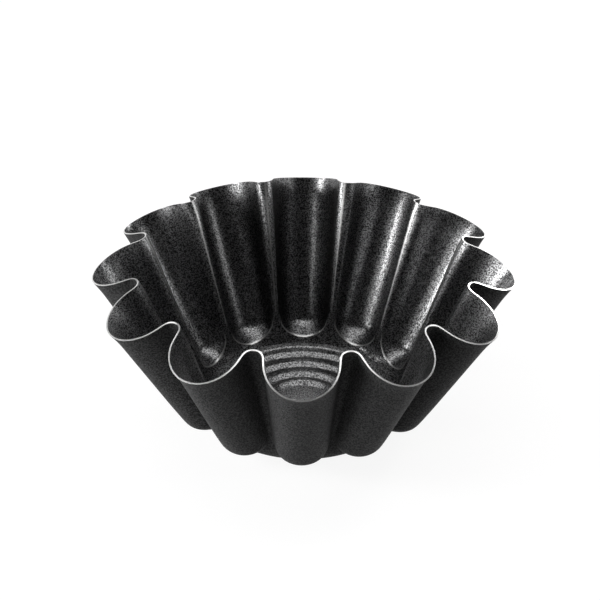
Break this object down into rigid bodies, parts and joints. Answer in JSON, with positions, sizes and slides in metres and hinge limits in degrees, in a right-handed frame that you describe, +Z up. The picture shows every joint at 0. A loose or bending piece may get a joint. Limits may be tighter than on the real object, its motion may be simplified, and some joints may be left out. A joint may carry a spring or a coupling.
{
  "type": "fluted pudding mould",
  "caption": "Deep round sheet-steel baking mould with fluted flared walls, a wavy rim, rounded flute ends and a ringed flat floor.",
  "frame": {"origin": "middle of the mould's flat underside, on the surface it stands on", "axes": "+Z up along the mould's axis, with a flute on each of the X and Y axes"},
  "size_m": [0.2198, 0.2198, 0.09],
  "materials": {
    "release_coating": "satin dark grey release coating on pressed steel, bare metal at the trimmed rim edge"
  },
  "bodies": {
    "root": {"mould_shell": "release_coating"}
  },
  "joints": []
}
